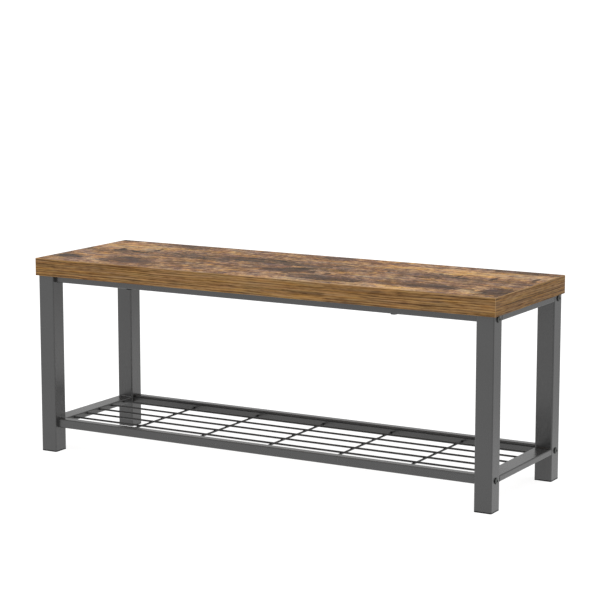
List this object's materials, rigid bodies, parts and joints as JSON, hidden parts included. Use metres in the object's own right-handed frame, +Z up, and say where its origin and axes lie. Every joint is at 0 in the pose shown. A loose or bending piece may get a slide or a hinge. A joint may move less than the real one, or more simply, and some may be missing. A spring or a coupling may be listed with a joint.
{
  "type": "entryway bench",
  "caption": "Backless bench with a thick wood-look seat on a grey square-tube frame, and a low wire shelf for shoes.",
  "frame": {"origin": "on the floor, under the centre of the seat", "axes": "+X along the bench, +Y from the front to the back, +Z up"},
  "size_m": [1.15, 0.36, 0.45],
  "materials": {
    "seat_laminate": "satin wood-look laminate with dark streaks",
    "edge_banding": "satin straight-grain edge band",
    "board_core": "raw particle board",
    "frame_paint": "fine-texture grey powder coat",
    "black_plastic": "matt moulded",
    "black_steel": "black oxide",
    "zinc": "zinc plated"
  },
  "bodies": {
    "root": {"seat_board": "board_core", "seat_top_laminate": "seat_laminate", "seat_bottom_laminate": "seat_laminate", "edge_band_front": "edge_banding", "edge_band_back": "edge_banding", "edge_band_left": "edge_banding", "edge_band_right": "edge_banding", "leg_front_left": "frame_paint", "leg_front_right": "frame_paint", "leg_back_left": "frame_paint", "leg_back_right": "frame_paint", "upper_end_rail_left": "frame_paint", "upper_end_rail_right": "frame_paint", "lower_end_rail_left": "frame_paint", "lower_end_rail_right": "frame_paint", "upper_rail_front": "frame_paint", "upper_rail_back": "frame_paint", "shelf_rail_front": "frame_paint", "shelf_rail_back": "frame_paint", "shelf_ledge_front": "frame_paint", "shelf_ledge_back": "frame_paint", "shelf_wire_1": "frame_paint", "shelf_wire_2": "frame_paint", "shelf_wire_3": "frame_paint", "shelf_wire_4": "frame_paint", "shelf_wire_5": "frame_paint", "cross_wire_1": "frame_paint", "cross_wire_2": "frame_paint", "cross_wire_3": "frame_paint", "cross_wire_4": "frame_paint", "cross_wire_5": "frame_paint", "foot_cap_front_left": "black_plastic", "foot_cap_front_right": "black_plastic", "foot_cap_back_left": "black_plastic", "foot_cap_back_right": "black_plastic", "upper_rail_plugs": "black_plastic", "shelf_rail_plugs": "black_plastic", "frame_bolts": "black_steel", "seat_screws": "black_steel", "seat_insert_nuts": "zinc"}
  },
  "joints": []
}
